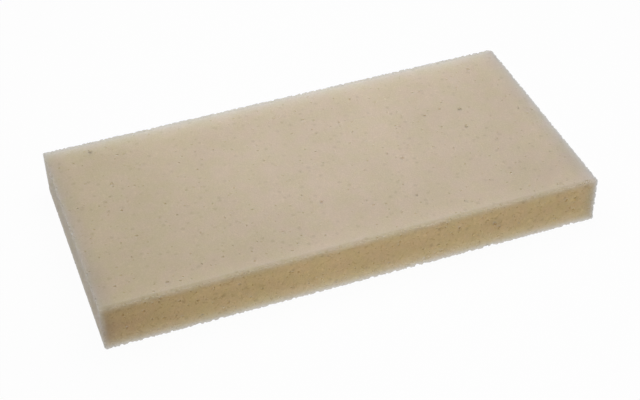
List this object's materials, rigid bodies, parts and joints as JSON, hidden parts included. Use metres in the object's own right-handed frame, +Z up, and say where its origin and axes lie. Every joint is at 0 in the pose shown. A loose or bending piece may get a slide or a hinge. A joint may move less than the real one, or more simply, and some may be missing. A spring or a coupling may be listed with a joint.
{
  "type": "grout sponge",
  "caption": "Rectangular slab of open-cell foam with square sawn edges and open pores, for washing and smoothing tile grout by hand or on a float board.",
  "frame": {"origin": "middle of the bottom face", "axes": "+X along the slab's length, +Y across its width away from the viewer, +Z up through its thickness"},
  "size_m": [0.28, 0.136, 0.028],
  "materials": {
    "foam": "matt beige open-cell polyurethane foam, sawn on all sides, paler along the edges"
  },
  "bodies": {
    "root": {"sponge": "foam"}
  },
  "joints": []
}
